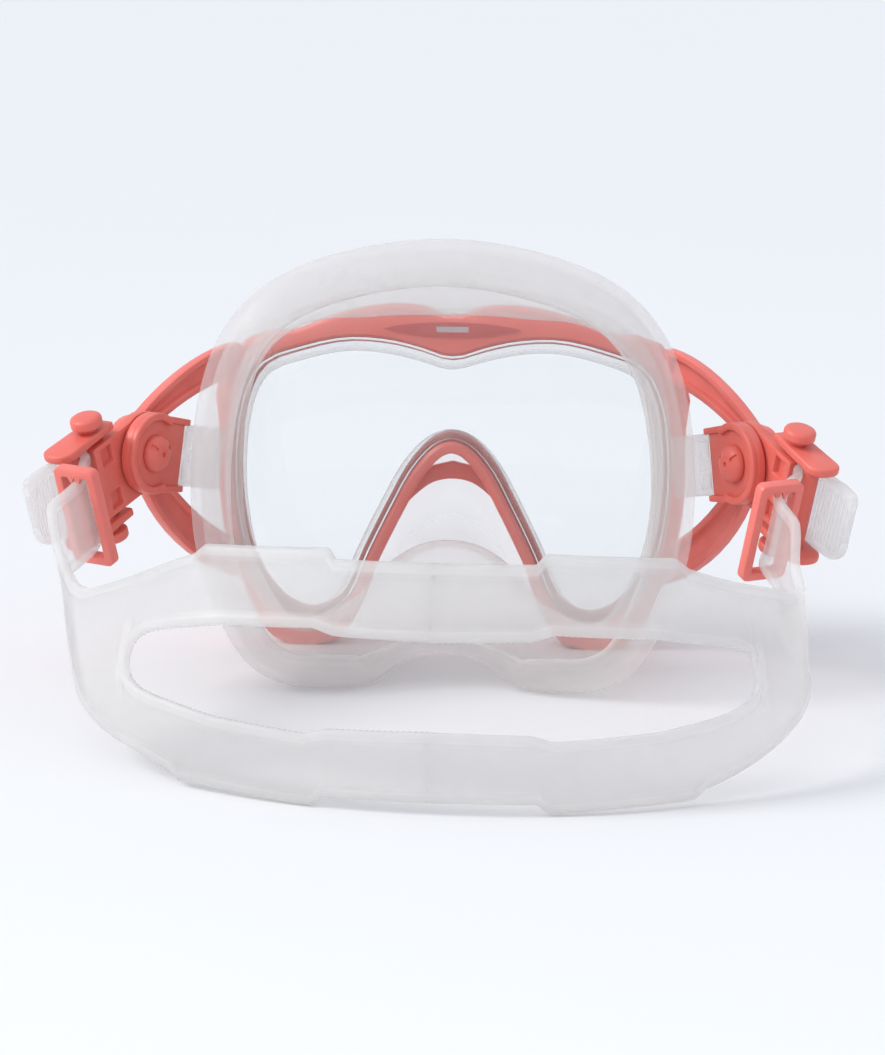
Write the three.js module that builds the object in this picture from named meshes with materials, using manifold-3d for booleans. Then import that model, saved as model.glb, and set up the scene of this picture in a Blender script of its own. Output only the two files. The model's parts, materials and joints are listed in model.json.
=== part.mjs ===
// Single-lens diving mask with a soft skirt, swivel buckles and a split head strap.
// Millimetres, +Z up. The mask stands on its lower edge, its lens looks along +Y,
// the face opening and the head strap lie toward -Y, and +X is the wearer's left.
import * as THREE from 'three';
import { mergeVertices } from 'three/addons/utils/BufferGeometryUtils.js';
import Module from 'manifold-3d';

const wasm = await Module();
wasm.setup();

// ---------- driving dimensions ----------
const fitGap = 0.3;              // free gap kept between neighbouring pieces
const outlineSteps = 72;         // straight steps round the lens and the skirt

const glassThickness = 4;
const glassSeat = 3.4;           // how far the glass reaches under its seat
const frameBack = -1.4;          // where the frame ring starts behind the glass
const frameDepth = 8;            // front to back of the frame ring
const frameRim = 7.4;            // ring width outside the clear lens opening
const bezelThickness = 1.8;
const clipThickness = 1.6;
const clipHalf = 14;
const clipZ = 80.2;
const ear = { x: 51.5, z: 74.5, radius: 8 };     // where each upper arm meets the frame

const skirtWall = 1.8;
const flangeReach = 11;          // sealing flange, turned in toward the face
const innerLipReach = 6;

const pivotX = 71.5;
const pivotY = -42;
const pivotZ = 58;
const plateTurn = THREE.MathUtils.degToRad(60);     // side plate, away from the face plane
const platePitch = 12;           // degrees, plate and lug, lens end lower
const buckleDroop = THREE.MathUtils.degToRad(18);   // buckles hang below level at rest

const pinShankRadius = 2.3;
const pinHeadRadius = 5;
const plateThickness = 2.5;
const plateRadius = 10;
const plateGap = 0.6;            // running clearance beside the swivelling base
const wingThickness = 2.8;

const knobRadius = 3.9;
const knobRise = 2.7;
const knobTravel = 1.2;
const knobX = 14.6;
const stemRadius = 2;
const postRadius = 2;
const strapThickness = 2.2;
const strapWidth = 19.6;         // narrow end of the strap
const keeperBar = 2.2;
const keeperDepth = 3.6;

// layers beside the pivot, counted outward from the middle of the side plate
const baseInner = plateThickness / 2 + plateGap;
const baseOuter = baseInner + 2.5;
const wingInner = baseOuter + plateGap;
const wingOuter = wingInner + wingThickness;
const postX = 22.5;
const windowZ = 5.8;              // the two windows of the buckle base
const windowHalf = 2.2;
const postY = 4.9;
const roofZ = strapWidth / 2 + 1;
const roofThickness = 2.1;

// Clear lens opening and the outer fold of the skirt, right half from the top middle
// down to the nose: x and z of the lens edge, then x and z of the fold beside it.
const halfOutline = [
  [0, 72.5, 0, 112], [8, 74.6, 10, 111.4], [17, 76.6, 21, 109.5], [27, 77, 33, 106],
  [38, 74.5, 43.5, 100.5], [46.5, 71, 51, 93], [50.5, 63, 56.5, 83], [52.3, 48, 60.3, 66],
  [51.5, 34, 61, 48], [48.5, 22, 59.5, 34], [42, 13, 55, 20], [35.5, 10.5, 48.5, 7.6],
  [29.5, 14, 39, 1.3], [25, 24.5, 27.5, 0.1], [18.5, 38, 17, 1], [12.5, 49, 11, 4.8],
  [6, 55.8, 5, 6.8], [0, 57.7, 0, 7.2],
];

// ---------- small helpers ----------
function finish(name, red, green, blue, roughness, metalness = 0) {
  const material = new THREE.MeshStandardMaterial({ roughness, metalness });
  material.color.setRGB(red, green, blue, THREE.SRGBColorSpace);
  material.name = name;
  return material;
}

const coral = () => finish('coral', 0.9, 0.47, 0.43, 0.42);
const coralDark = () => finish('coral dark', 0.8, 0.36, 0.34, 0.45);
const silicone = () => finish('silicone', 0.88, 0.87, 0.88, 0.35);
const glass = () => finish('glass', 0.9, 0.94, 0.95, 0.05);

function toSolid(geometry) {
  const plain = geometry.clone();
  plain.deleteAttribute('normal');
  plain.deleteAttribute('uv');
  const merged = mergeVertices(plain, 1e-4);
  return new wasm.Manifold(new wasm.Mesh({
    numProp: 3,
    vertProperties: new Float32Array(merged.attributes.position.array),
    triVerts: new Uint32Array(merged.index.array),
  }));
}

function toMesh(name, solid, material) {
  const data = solid.getMesh();
  const geometry = new THREE.BufferGeometry();
  geometry.setAttribute('position', new THREE.BufferAttribute(new Float32Array(data.vertProperties), 3));
  geometry.setIndex(new THREE.BufferAttribute(new Uint32Array(data.triVerts), 1));
  const flat = geometry.toNonIndexed();
  flat.computeVertexNormals();
  const mesh = new THREE.Mesh(flat, material);
  mesh.name = name;
  return mesh;
}

function box(xs, ys, zs) {
  const geometry = new THREE.BoxGeometry(xs[1] - xs[0], ys[1] - ys[0], zs[1] - zs[0]);
  geometry.translate((xs[0] + xs[1]) / 2, (ys[0] + ys[1]) / 2, (zs[0] + zs[1]) / 2);
  return toSolid(geometry);
}

function polygon(points) {
  return new THREE.Shape(points.map(([x, y]) => new THREE.Vector2(x, y)));
}

// A flat outline in x and z, given thickness from y0 to y1.
function slab(shape, y0, y1, curveSegments = 10) {
  const geometry = new THREE.ExtrudeGeometry(shape, { depth: y1 - y0, bevelEnabled: false, curveSegments });
  geometry.rotateX(Math.PI / 2);
  geometry.translate(0, y1, 0);
  return toSolid(geometry);
}

// A round turned on the y axis from [radius, y] pairs that start and end on the axis.
function turned(profile, segments = 32) {
  const points = profile.map(([radius, y]) => new THREE.Vector2(radius, y));
  return toSolid(new THREE.LatheGeometry(points, segments));
}

function upright(radius, z0, z1, segments = 24) {
  const geometry = new THREE.CylinderGeometry(radius, radius, z1 - z0, segments);
  geometry.rotateX(Math.PI / 2);
  geometry.translate(0, 0, (z0 + z1) / 2);
  return toSolid(geometry);
}

// A solid from loose corners and triangles, turned so that its faces point outward.
function closedSolid(positions, indices) {
  const geometry = new THREE.BufferGeometry();
  geometry.setAttribute('position', new THREE.Float32BufferAttribute(positions, 3));
  geometry.setIndex(indices);
  const solid = toSolid(geometry);
  if (solid.volume() > 0) {
    return solid;
  }
  geometry.setIndex(indices.reverse());
  return toSolid(geometry);
}

// A closed skin over rings of equal length; the ends are capped unless the rings close up.
function loft(rings, closed) {
  const count = rings[0].length;
  const positions = rings.flat().flatMap((p) => [p.x, p.y, p.z]);
  const indices = [];
  const last = closed ? rings.length : rings.length - 1;
  for (let i = 0; i < last; i += 1) {
    for (let j = 0; j < count; j += 1) {
      const a = i * count + j;
      const b = i * count + ((j + 1) % count);
      const c = ((i + 1) % rings.length) * count + j;
      const d = ((i + 1) % rings.length) * count + ((j + 1) % count);
      indices.push(a, b, d, a, d, c);
    }
  }
  if (!closed) {
    const end = (rings.length - 1) * count;
    for (let j = 1; j < count - 1; j += 1) {
      indices.push(0, j + 1, j, end, end + j, end + j + 1);
    }
  }
  return closedSolid(positions, indices);
}

// ---------- outlines ----------
function closedCurve(columnX, columnZ) {
  const right = halfOutline.map((row) => new THREE.Vector3(row[columnX], 0, row[columnZ]));
  const left = right.slice(1, -1).reverse().map((p) => new THREE.Vector3(-p.x, 0, p.z));
  return new THREE.CatmullRomCurve3([...right, ...left], true, 'centripetal');
}

const lensCurve = closedCurve(0, 1);
const foldCurve = closedCurve(2, 3);

// Points round the lens edge moved outward by a distance, a number or a rule on the point.
function lensRing(grow) {
  return Array.from({ length: outlineSteps }, (_, i) => {
    const t = i / outlineSteps;
    const point = lensCurve.getPoint(t);
    const tangent = lensCurve.getTangent(t);
    const distance = typeof grow === 'function' ? grow(point) : grow;
    return new THREE.Vector3(point.x - tangent.z * distance, 0, point.z + tangent.x * distance);
  });
}

function ringSlab(innerGrow, outerGrow, y0, y1) {
  const outer = slab(polygon(lensRing(outerGrow).map((p) => [p.x, p.z])), y0, y1);
  if (innerGrow === null) {
    return outer;
  }
  const inner = slab(polygon(lensRing(innerGrow).map((p) => [p.x, p.z])), y0 - 1, y1 + 1);
  return outer.subtract(inner);
}

// 1 at the middle of the nose arch and 0 outside it
function noseShare(i) {
  const fromNose = Math.abs(i / outlineSteps - 0.5) * outlineSteps;
  const reach = outlineSteps * 0.128;
  const share = fromNose > reach ? 0 : 0.5 + 0.5 * Math.cos((Math.PI * fromNose) / reach);
  return 1 - (1 - share) ** 1.6;
}

// The frame ring is deeper over the brow and along the two lower lobes.
function frameEdge(point) {
  const { smoothstep } = THREE.MathUtils;
  const brow = 4 * (1 - smoothstep(Math.abs(point.x), 4, 36)) * smoothstep(point.z, 62, 70);
  const lobe = 4.8 * (1 - smoothstep(point.z, 9, 20)) * smoothstep(Math.abs(point.x), 27, 36);
  const noseArch = 1.9 * (1 - smoothstep(Math.abs(point.x), 24, 34)) * (1 - smoothstep(point.z, 56, 66));
  return frameRim + brow + lobe - noseArch;
}

// ---------- lens and frame ----------
function lensSolid() {
  return ringSlab(null, glassSeat, 0, glassThickness);
}

function wingShape() {
  const outer = new THREE.Shape();
  outer.moveTo(-46, 21);
  outer.bezierCurveTo(-30, 21, -14, 15.5, -3, 8.6);
  outer.absarc(0, 0, 8.6, Math.PI * 0.6, -Math.PI * 0.62, true);
  outer.bezierCurveTo(-10, -22, -26, -34, -46, -41);
  outer.lineTo(-46, -31);
  outer.bezierCurveTo(-32, -26, -20, -17, -11, -6);
  outer.absarc(-4, 0, 7, Math.PI * 1.25, Math.PI * 0.75, true);
  outer.bezierCurveTo(-20, 9.5, -32, 12.5, -46, 12.5);
  outer.closePath();
  return outer;
}

// Moves a solid made in the pivot's own axes (x along the buckle, y outward) to its side.
function atPivot(solid, side) {
  const placed = side > 0 ? solid : solid.mirror([0, 1, 0]);
  const turn = side > 0 ? -plateTurn : plateTurn - Math.PI;
  const matrix = new THREE.Matrix4().makeRotationZ(turn);
  matrix.setPosition(side * pivotX, pivotY, pivotZ);
  return placed.transform(matrix.elements);
}

function wingSolid(side) {
  const wing = slab(wingShape(), wingInner, wingOuter);
  const hole = turned([[0, 0], [pinShankRadius + fitGap, 0], [pinShankRadius + fitGap, 20], [0, 20]], 24);
  return atPivot(wing.subtract(hole), side);
}

function frameSolid() {
  const wall = ringSlab(glassSeat + fitGap, frameEdge, frameBack, frameBack + frameDepth);
  const lip = ringSlab(0.6, glassSeat + 1, glassThickness + fitGap, frameBack + frameDepth);
  let solid = wall.add(lip);
  for (const side of [-1, 1]) {
    const round = new THREE.Shape();
    round.absarc(side * ear.x, ear.z, ear.radius, 0, 2 * Math.PI);
    const root = slab(round, frameBack, frameBack + frameDepth - 1.5);
    solid = solid.add(wingSolid(side).add(root).subtract(openingCutter()));
  }
  return solid
    .subtract(belowHeight(0))
    .subtract(clipBlank(2 * fitGap, frameBack - 1, frameBack + clipThickness + fitGap));
}

function openingCutter() {
  return ringSlab(null, glassSeat + fitGap, -20, 20);
}

function belowHeight(z) {
  return box([-120, 120], [-80, 40], [z - 30, z]);
}

// Bridge of the bezel over the nose, below its arch: half width and height of each corner.
function bridgeShape() {
  const upper = [[13, 45], [7, 51.5], [0, 54.3], [-7, 51.5], [-13, 45]];
  const lower = [[-14, 37], [-8, 41], [0, 42.6], [8, 41], [14, 37]];
  return polygon([...upper, ...lower]);
}

function bezelSolid() {
  const back = frameBack + frameDepth + fitGap;
  return ringSlab(1.6, (point) => frameEdge(point) - 2, back, back + bezelThickness)
    .add(slab(bridgeShape(), back, back + bezelThickness))
    .subtract(belowHeight(1));
}

// Spring clip let into the back of the brow, which locks the bezel to the frame.
function clipBlank(grow, y0, y1) {
  const half = clipHalf + grow;
  const shape = new THREE.Shape();
  shape.moveTo(-half, 1.4);
  shape.quadraticCurveTo(0, 4.2 + 2 * grow, half, 1.4);
  shape.quadraticCurveTo(0, -3.4 - 2 * grow, -half, 1.4);
  return slab(shape, y0, y1, 12).translate(0, 0, clipZ);
}

function clipSolid() {
  const window = box([-3.4, 3.4], [-5, 5], [clipZ - 0.2, clipZ + 1.6]);
  return clipBlank(0, frameBack, frameBack + clipThickness).subtract(window);
}

// ---------- skirt ----------
// One row for each step from the lens seat out to the fold, in to the flange edge and
// back along the inside: share of the way to the fold, distance y, shift outward, and
// the further shift under the nose arch, where the wall clears the frame.
function skirtStations() {
  const edge = -flangeReach;
  return [
    { share: 0, y: -0.35, out: 0 },
    { share: 0, y: -0.35, out: glassSeat },
    { share: 0, y: -2.1, out: glassSeat },
    { share: 0, y: -2.2, out: glassSeat + 0.2, noseOut: 3 },
    { share: 0.34, y: -5.2, out: 2, noseOut: 3.4 },
    { share: 0.62, y: -15, out: 1 },
    { share: 0.88, y: -30, out: 0 },
    { share: 1, y: -43, out: 0 },
    { share: 1, y: -47, out: -2 },
    { share: 1, y: -50.5, out: edge * 0.55 },
    { share: 1, y: -51, out: edge },
    { share: 1, y: -49.6, out: edge },
    { share: 1, y: -48.4, out: edge * 0.6 },
    { share: 1, y: -43, out: -skirtWall - 1 },
    { share: 0.88, y: -31, out: -skirtWall },
    { share: 0.72, y: -23, out: -skirtWall - innerLipReach },
    { share: 0.7, y: -21.4, out: -skirtWall - innerLipReach },
    { share: 0.7, y: -19, out: -skirtWall },
    { share: 0.34, y: -7.2, out: 0.4, noseOut: 3.2 },
    { share: 0, y: -4.1, out: 1.6, noseOut: 3 },
    { share: 0, y: -1.9, out: 0 },
  ];
}

function skirtRing(station) {
  return Array.from({ length: outlineSteps }, (_, i) => {
    const t = i / outlineSteps;
    const lens = lensCurve.getPoint(t);
    const fold = foldCurve.getPoint(t);
    const tangent = lensCurve.getTangent(t).lerp(foldCurve.getTangent(t), station.share).normalize();
    const point = lens.lerp(fold, station.share);
    const nose = noseShare(i);
    const shift = station.share === 1 ? station.out * (1 - 0.45 * nose) : station.out;
    const out = shift + (station.noseOut ?? 0) * Math.sqrt(nose);
    const templeBack = -7 * (point.x / 61) ** 2 * station.share;
    const pocket = 17 * nose * Math.sin(Math.PI * station.share) * (1 - station.share * 0.35);
    return new THREE.Vector3(
      point.x - tangent.z * out,
      station.y + templeBack + pocket + 8 * nose * station.share,
      Math.max(point.z + tangent.x * out, 0),
    );
  });
}

// Soft lug on each side of the skirt that the side plate is buttoned to.
function skirtLug(side) {
  const near = -plateRadius - 1 - fitGap;
  const geometry = new THREE.ExtrudeGeometry(
    polygon([[near, -1.1], [near, 1.1], [-18, 1.1], [-24.5, -2.4], [-22.5, -5.4], [-17, -1.1]]),
    { depth: 15.2, bevelEnabled: false },
  );
  return atPivot(toSolid(geometry).translate(0, 0, -7.6).rotate([0, -platePitch, 0]), side);
}

function skirtSolid() {
  let solid = loft(skirtStations().map(skirtRing), true);
  for (const side of [-1, 1]) {
    solid = solid.add(skirtLug(side));
  }
  return solid;
}

// ---------- side plate, pin and buckle, in the pivot's own axes ----------
function plateSolid() {
  const shape = new THREE.Shape();
  shape.moveTo(-plateRadius - 1, -8);
  shape.lineTo(-5, -8.7);
  shape.absarc(0, 0, plateRadius, -Math.PI * 0.66, Math.PI * 0.66, false);
  shape.lineTo(-5, 8.7);
  shape.lineTo(-plateRadius - 1, 8);
  shape.closePath();
  const plate = slab(shape, -plateThickness / 2, plateThickness / 2, 20);
  const rim = slab(shape, -plateThickness / 2 - 1, 0, 20)
    .subtract(slab(shape, -20, 20, 20).scale([0.82, 1, 0.82]))
    .subtract(box([-20, -plateRadius + 2], [-5, 5], [-20, 20]));
  const hole = turned([[0, -9], [pinShankRadius + fitGap, -9], [pinShankRadius + fitGap, 9], [0, 9]], 24);
  return plate.add(rim).subtract(hole).rotate([0, -platePitch, 0]);
}

function pinSolid() {
  const head = -plateThickness / 2 - fitGap;
  const outer = wingOuter + fitGap;
  const pin = turned([
    [0, head - 1.6], [1, head - 1.6], [1, head - 2.4], [3.2, head - 2.4], [pinHeadRadius, head - 1.2],
    [pinHeadRadius, head], [pinShankRadius, head], [pinShankRadius, outer],
    [3.6, outer], [3.6, outer + 0.8], [2.8, outer + 1.4], [0, outer + 1.4],
  ]);
  const notches = [35, 155].map((degrees) => {
    const notch = box([3.4, 6], [head - 3, head - 1.3], [-0.7, 0.7]);
    return notch.rotate([0, degrees, 0]);
  });
  return pin.subtract(notches[0]).subtract(notches[1]);
}

function baseSolid() {
  const end = postX - postRadius - strapThickness - 2 * fitGap;
  const shape = new THREE.Shape();
  shape.moveTo(end, -9.4);
  shape.lineTo(end, 9.4);
  shape.lineTo(3, 9.6);
  shape.absarc(0, 0, plateRadius, Math.PI * 0.4, -Math.PI * 0.4, false);
  shape.closePath();
  const base = slab(shape, baseInner, baseOuter, 24);
  const bore = turned([[0, 0], [pinShankRadius + 0.5, 0], [pinShankRadius + 0.5, 9], [0, 9]], 24);
  let solid = base.subtract(bore);
  for (const z of [-windowZ, windowZ]) {
    solid = solid.subtract(box([11.4, 15.2], [0, 9], [z - windowHalf, z + windowHalf]));
  }
  return solid;
}

function carrierSolid() {
  const outerFace = wingOuter + 1.2;
  let solid = box([10.2, 15.4], [baseOuter + fitGap, outerFace], [-roofZ - 1, roofZ + 1]);
  for (const z of [-1, 1]) {
    const shape = new THREE.Shape();
    shape.moveTo(8.6, baseInner);
    shape.lineTo(postX + 3, 1.2);
    shape.quadraticCurveTo(postX + 6.2, 2.2, postX + 6.2, 5.4);
    shape.quadraticCurveTo(postX + 6.2, outerFace + 0.6, postX + 3, outerFace + 0.6);
    shape.lineTo(8.6, outerFace);
    shape.closePath();
    const geometry = new THREE.ExtrudeGeometry(shape, { depth: roofThickness, bevelEnabled: false, curveSegments: 6 });
    solid = solid.add(toSolid(geometry).translate(0, 0, z > 0 ? roofZ : -roofZ - roofThickness));
  }
  const post = upright(postRadius, -roofZ - 1, roofZ + 1).translate(postX, postY, 0);
  const stemHole = upright(stemRadius + 0.4, roofZ - 0.5, roofZ + 10).translate(knobX, postY, 0);
  return solid.add(post).subtract(stemHole).subtract(stemHole.mirror([0, 0, 1]));
}

function buttonSolid(z) {
  const under = roofZ + roofThickness + knobTravel + 0.1;
  const profile = [
    [0, under - 2.3], [stemRadius, under - 2.3], [stemRadius, under], [knobRadius, under],
    [knobRadius, under + knobRise - 0.8], [knobRadius - 0.9, under + knobRise], [0, under + knobRise],
  ];
  const knob = turned(profile, 28).rotate([90, 0, 0]);
  const standing = z > 0 ? knob : knob.mirror([0, 0, 1]);
  return standing.translate(knobX, postY, 0);
}

// ---------- strap ends: the run through the keeper, round the post and out as the tail ----------
const neckInset = { left: 5.5, right: 11.5 };    // how far each strap end is drawn inward
const neckGap = 1.6;             // between a strap end, which swivels, and the strap band
const keeperX = 31.4;
const neckEndX = 39.6;

// Share of the inset reached at a distance along the buckle: the neck leans on past the keeper.
function neckSlope(x) {
  return 1 + (x - keeperX) * 0.018;
}

function strapEndPath(inset) {
  const inner = postY - postRadius - fitGap - strapThickness / 2;
  const outer = postY + postRadius + fitGap + strapThickness / 2;
  const wrap = Array.from({ length: 9 }, (_, i) => {
    const angle = -Math.PI / 2 - (Math.PI * i) / 8;
    const radius = postRadius + fitGap + strapThickness / 2;
    return new THREE.Vector3(postX + radius * Math.cos(angle), postY + radius * Math.sin(angle), 0);
  });
  return new THREE.CatmullRomCurve3([
    new THREE.Vector3(neckEndX, inner - inset * neckSlope(neckEndX), 0),
    new THREE.Vector3(keeperX, inner - inset, 0),
    new THREE.Vector3(postX + 3.4, inner - inset * 0.45, 0),
    ...wrap,
    new THREE.Vector3(postX + 4, outer, 0),
    new THREE.Vector3(postX + 9, outer + 0.8, 0),
    new THREE.Vector3(postX + 14, outer + 0.2, 0),
  ], false, 'centripetal');
}

function ribbonShape(path, thickness, steps) {
  const rim = [];
  for (let i = 0; i <= steps; i += 1) {
    const point = path.getPointAt(i / steps);
    const tangent = path.getTangentAt(i / steps);
    const normal = new THREE.Vector2(-tangent.y, tangent.x).multiplyScalar(thickness / 2);
    rim.push([point.x + normal.x, point.y + normal.y, point.x - normal.x, point.y - normal.y]);
  }
  const there = rim.map(([x, y]) => [x, y]);
  const back = rim.map(([, , x, y]) => [x, y]).reverse();
  return polygon([...there, ...back]);
}

function strapEndSolid(inset) {
  const shape = ribbonShape(strapEndPath(inset), strapThickness, 40);
  const geometry = new THREE.ExtrudeGeometry(shape, { depth: strapWidth, bevelEnabled: false });
  return toSolid(geometry).translate(0, 0, -strapWidth / 2);
}

function keeperSolid(inset) {
  const middle = postY - postRadius - fitGap - strapThickness / 2 - inset;
  const inside = [middle - strapThickness / 2 - 2.4, middle + strapThickness / 2 + 2.8];
  const half = strapWidth / 2 + 0.7;
  const xs = [keeperX - keeperDepth / 2, keeperX + keeperDepth / 2];
  const outerBox = box(xs, [inside[0] - keeperBar, inside[1] + keeperBar], [-half - keeperBar, half + keeperBar]);
  return outerBox.subtract(box([xs[0] - 1, xs[1] + 1], inside, [-half, half]));
}

// ---------- head strap ----------
// Where a point in a buckle's own axes lies once the buckle hangs at rest on its side.
function buckleToWorld(x, y, z, side) {
  const point = new THREE.Vector3(x, side * y, z);
  point.applyAxisAngle(new THREE.Vector3(0, 1, 0), buckleDroop);
  point.applyAxisAngle(new THREE.Vector3(0, 0, 1), side > 0 ? -plateTurn : plateTurn - Math.PI);
  return point.add(new THREE.Vector3(side * pivotX, pivotY, pivotZ));
}

function neckPoint(side, beyond) {
  const inset = side > 0 ? neckInset.right : neckInset.left;
  const inner = postY - postRadius - fitGap - strapThickness / 2;
  const x = neckEndX + beyond;
  return buckleToWorld(x, inner - inset * neckSlope(x), 0, side);
}

// The middle line of the strap as it lies on the table, from the left neck to the right.
const strapSpine = new THREE.CatmullRomCurve3([
  neckPoint(-1, neckGap),
  neckPoint(-1, 4),
  new THREE.Vector3(-82.5, -94.5, 28),
  new THREE.Vector3(-75, -108, 25.5),
  new THREE.Vector3(-58, -124, 27),
  new THREE.Vector3(-26, -139.5, 27.8),
  new THREE.Vector3(9.3, -144.5, 28.1),
  new THREE.Vector3(44, -140, 27.8),
  new THREE.Vector3(72, -125, 27.4),
  new THREE.Vector3(84.5, -107, 30.5),
  new THREE.Vector3(82, -93, 36.5),
  neckPoint(1, 4),
  neckPoint(1, neckGap),
], false, 'centripetal');
const spineLength = strapSpine.getLength();
const strapMiddle = spineLength * 0.503;

// Half the strap's height at each distance from its middle, and the opening's half height.
const strapHalf = [[0, 26], [24, 26], [25.5, 28.2], [59, 26.6], [61, 24.4], [84, 17], [98, 11.6], [104, 9.8], [400, 9.8]];
const slotHalf = [[0, 9.6], [22, 10], [27, 11.4], [50, 10], [66, 7], [73, 4], [76, 0], [400, 0]];

function lookUp(rows, distance) {
  const next = Math.max(1, rows.findIndex(([at]) => at >= distance));
  const [x0, y0] = rows[next - 1];
  const [x1, y1] = rows[next];
  return THREE.MathUtils.mapLinear(Math.min(distance, x1), x0, x1, y0, y1);
}

// A point of the strap: distance along it from the middle, height on it, side of its sheet.
function strapPoint(along, height, layer) {
  const u = THREE.MathUtils.clamp((strapMiddle + along) / spineLength, 0, 1);
  const point = strapSpine.getPointAt(u);
  const tangent = strapSpine.getTangentAt(u);
  const side = Math.sign(along) || 1;
  const reach = side > 0 ? spineLength - strapMiddle : strapMiddle;
  const endward = THREE.MathUtils.smoothstep(Math.abs(along), 88, reach - 1);
  const restUp = buckleToWorld(0, 0, 1, side).sub(buckleToWorld(0, 0, 0, side));
  const inward = new THREE.Vector3(0, 0, 1).cross(tangent).normalize();
  const up = new THREE.Vector3(0, 0, 1).addScaledVector(inward, 0.2 * (1 - endward));
  up.normalize().lerp(restUp, endward).normalize();
  const crown = 0.006 * height * height * (1 - endward);
  const normal = tangent.clone().cross(up).normalize().multiplyScalar(-1);
  return point.addScaledVector(up, height).addScaledVector(inward, crown)
    .addScaledVector(normal, layer * strapThickness / 2);
}

// Distances from the strap's middle at which its section is drawn: regular ones and each
// place where the outline or the opening turns.
function strapStations() {
  const ends = [-strapMiddle, spineLength - strapMiddle];
  const turns = [...strapHalf, ...slotHalf].map(([at]) => at).flatMap((at) => [at, -at]);
  const regular = Array.from({ length: 47 }, (_, i) => THREE.MathUtils.lerp(ends[0], ends[1], i / 46));
  const inside = [...turns, ...regular].filter((at) => at >= ends[0] && at <= ends[1]);
  return inside.sort((a, b) => a - b).filter((at, i, all) => i === 0 || at - all[i - 1] > 0.4);
}

// The strap's sheet: two rows of faces below the opening and two above, front and back,
// with walls along the edges, round the opening and across both ends.
function strapSolid() {
  const stations = strapStations();
  const slots = stations.map((along) => lookUp(slotHalf, Math.abs(along)));
  const positions = [];
  stations.forEach((along, i) => {
    const edge = lookUp(strapHalf, Math.abs(along));
    const rise = (edge + slots[i]) / 2;
    for (const height of [-edge, -rise, -slots[i], slots[i], rise, edge]) {
      positions.push(...strapPoint(along, height, 1).toArray(), ...strapPoint(along, height, -1).toArray());
    }
  });
  const corner = (i, row, layer) => i * 12 + row * 2 + layer;
  const indices = [];
  const quad = (a, b, c, d) => indices.push(a, b, c, a, c, d);
  const wall = (i, row, turn) => {
    const ring = [corner(i, row, 0), corner(i + 1, row, 0), corner(i + 1, row, 1), corner(i, row, 1)];
    quad(...(turn ? ring.reverse() : ring));
  };
  for (let i = 0; i < stations.length - 1; i += 1) {
    for (const row of [0, 1, 3, 4]) {
      quad(corner(i, row, 0), corner(i, row + 1, 0), corner(i + 1, row + 1, 0), corner(i + 1, row, 0));
      quad(corner(i, row, 1), corner(i + 1, row, 1), corner(i + 1, row + 1, 1), corner(i, row + 1, 1));
    }
    wall(i, 0, false);
    wall(i, 5, true);
    if (slots[i] + slots[i + 1] > 0) {
      wall(i, 2, true);
      wall(i, 3, false);
    }
  }
  const last = stations.length - 1;
  for (const row of [0, 1, 3, 4]) {
    quad(corner(0, row, 0), corner(0, row, 1), corner(0, row + 1, 1), corner(0, row + 1, 0));
    quad(corner(last, row, 0), corner(last, row + 1, 0), corner(last, row + 1, 1), corner(last, row, 1));
  }
  return closedSolid(positions, indices);
}

// ---------- the whole mask ----------
function sideParts(side, label) {
  const fixed = new THREE.Group();
  fixed.position.set(side * pivotX, pivotY, pivotZ);
  fixed.rotation.z = side > 0 ? -plateTurn : plateTurn - Math.PI;
  const hanging = new THREE.Group();
  hanging.rotation.y = buckleDroop;
  fixed.add(hanging);
  const handed = (solid) => (side > 0 ? solid : solid.mirror([0, 1, 0]));
  const inset = neckInset[label === 'right' ? 'right' : 'left'];
  fixed.add(toMesh(`${label}_side_plate`, handed(plateSolid()), coral()));
  fixed.add(toMesh(`${label}_pivot_pin`, handed(pinSolid()), coral()));
  hanging.add(toMesh(`${label}_buckle_base`, handed(baseSolid()), coralDark()));
  hanging.add(toMesh(`${label}_strap_carrier`, handed(carrierSolid()), coral()));
  hanging.add(toMesh(`${label}_upper_button`, handed(buttonSolid(1)), coral()));
  hanging.add(toMesh(`${label}_lower_button`, handed(buttonSolid(-1)), coral()));
  hanging.add(toMesh(`${label}_strap_end`, handed(strapEndSolid(inset)), silicone()));
  hanging.add(toMesh(`${label}_keeper`, handed(keeperSolid(inset)), coral()));
  return fixed;
}

function mask() {
  const group = new THREE.Group();
  group.add(toMesh('lens', lensSolid(), glass()));
  group.add(toMesh('main_frame', frameSolid(), coral()));
  group.add(toMesh('front_bezel', bezelSolid(), coralDark()));
  group.add(toMesh('brow_clip', clipSolid(), coralDark()));
  group.add(toMesh('skirt', skirtSolid(), silicone()));
  group.add(sideParts(1, 'right'));
  group.add(sideParts(-1, 'left'));
  group.add(toMesh('strap_band', strapSolid(), silicone()));
  return group;
}

// The origin is the middle of the bottom of the whole mask's box.
const body = mask();
body.updateMatrixWorld(true);
const extent = new THREE.Box3().setFromObject(body, true);
const middle = extent.getCenter(new THREE.Vector3());
body.position.set(-middle.x, -middle.y, -extent.min.z);
const part = new THREE.Group();
part.add(body);

export default part;
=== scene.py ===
import json
from math import cos, pi, radians, sin, sqrt

import bmesh
import bpy
from mathutils import Matrix, Vector
from mathutils.geometry import interpolate_bezier


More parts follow.
